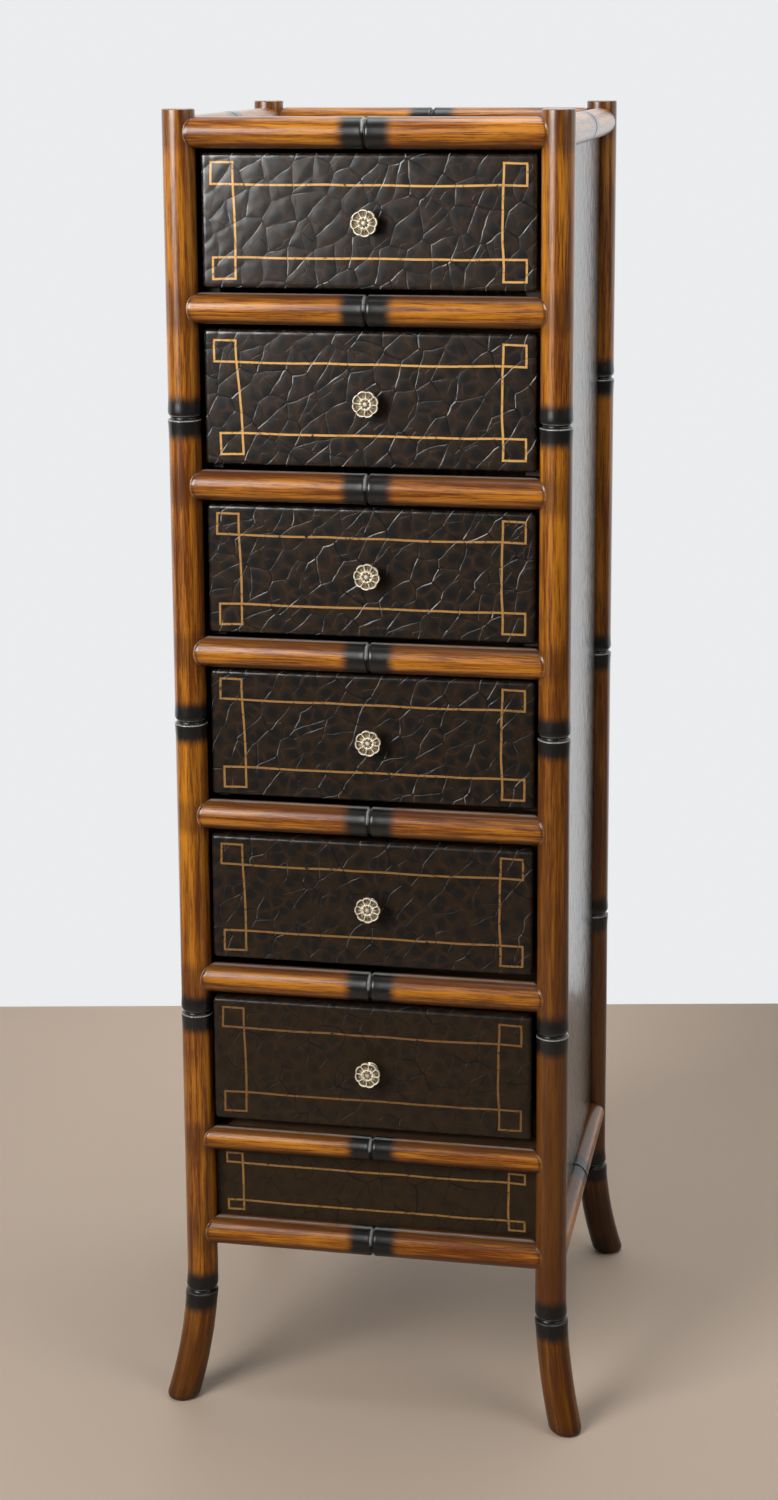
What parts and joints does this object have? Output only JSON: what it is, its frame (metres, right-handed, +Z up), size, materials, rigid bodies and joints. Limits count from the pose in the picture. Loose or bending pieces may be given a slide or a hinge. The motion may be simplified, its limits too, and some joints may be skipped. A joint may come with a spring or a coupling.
{
  "type": "semainier",
  "caption": "Tall narrow chest of leather-clad drawers on a splayed-foot frame of turned faux-bamboo posts and rails, with rosette knobs and a fixed apron below.",
  "frame": {"origin": "on the floor, at the middle of the four feet", "axes": "+Z up, -Y out of the drawer fronts, +X to the right of a viewer who faces them"},
  "size_m": [0.4464, 0.4464, 1.36],
  "materials": {
    "lacquered_wood": "gloss lacquer, scorched at the nodes",
    "hide": "embossed, gilt-tooled, worn satin",
    "brass": "aged satin",
    "plain_wood": "bare planed wood"
  },
  "bodies": {
    "frame": {"post_front_left": "lacquered_wood", "post_front_right": "lacquered_wood", "post_rear_left": "lacquered_wood", "post_rear_right": "lacquered_wood", "front_rail_1": "lacquered_wood", "front_rail_2": "lacquered_wood", "front_rail_3": "lacquered_wood", "front_rail_4": "lacquered_wood", "front_rail_5": "lacquered_wood", "front_rail_6": "lacquered_wood", "front_rail_7": "lacquered_wood", "front_rail_8": "lacquered_wood", "side_rail_upper_left": "lacquered_wood", "side_rail_upper_right": "lacquered_wood", "side_rail_lower_left": "lacquered_wood", "side_rail_lower_right": "lacquered_wood", "back_rail_upper": "lacquered_wood", "back_rail_lower": "lacquered_wood", "side_panel_left": "hide", "side_panel_right": "hide", "back_panel": "plain_wood", "top_panel": "hide", "apron_panel": "hide", "base_board": "plain_wood"},
    "drawer_1": {"drawer_1_front": "hide", "drawer_1_side_left": "plain_wood", "drawer_1_side_right": "plain_wood", "drawer_1_back": "plain_wood", "drawer_1_bottom": "plain_wood", "drawer_1_knob": "brass"},
    "drawer_2": {"drawer_2_front": "hide", "drawer_2_side_left": "plain_wood", "drawer_2_side_right": "plain_wood", "drawer_2_back": "plain_wood", "drawer_2_bottom": "plain_wood", "drawer_2_knob": "brass"},
    "drawer_3": {"drawer_3_front": "hide", "drawer_3_side_left": "plain_wood", "drawer_3_side_right": "plain_wood", "drawer_3_back": "plain_wood", "drawer_3_bottom": "plain_wood", "drawer_3_knob": "brass"},
    "drawer_4": {"drawer_4_front": "hide", "drawer_4_side_left": "plain_wood", "drawer_4_side_right": "plain_wood", "drawer_4_back": "plain_wood", "drawer_4_bottom": "plain_wood", "drawer_4_knob": "brass"},
    "drawer_5": {"drawer_5_front": "hide", "drawer_5_side_left": "plain_wood", "drawer_5_side_right": "plain_wood", "drawer_5_back": "plain_wood", "drawer_5_bottom": "plain_wood", "drawer_5_knob": "brass"},
    "drawer_6": {"drawer_6_front": "hide", "drawer_6_side_left": "plain_wood", "drawer_6_side_right": "plain_wood", "drawer_6_back": "plain_wood", "drawer_6_bottom": "plain_wood", "drawer_6_knob": "brass"}
  },
  "joints": [
    {"name": "drawer_1_slide", "type": "slide", "parent": "frame", "child": "drawer_1", "axis": [0, -1, 0], "range_m": [0, 0.24]},
    {"name": "drawer_2_slide", "type": "slide", "parent": "frame", "child": "drawer_2", "axis": [0, -1, 0], "range_m": [0, 0.24]},
    {"name": "drawer_3_slide", "type": "slide", "parent": "frame", "child": "drawer_3", "axis": [0, -1, 0], "range_m": [0, 0.24]},
    {"name": "drawer_4_slide", "type": "slide", "parent": "frame", "child": "drawer_4", "axis": [0, -1, 0], "range_m": [0, 0.24]},
    {"name": "drawer_5_slide", "type": "slide", "parent": "frame", "child": "drawer_5", "axis": [0, -1, 0], "range_m": [-0.00833, 0.24]},
    {"name": "drawer_6_slide", "type": "slide", "parent": "frame", "child": "drawer_6", "axis": [0, -1, 0], "range_m": [-0.0148, 0.24]}
  ]
}
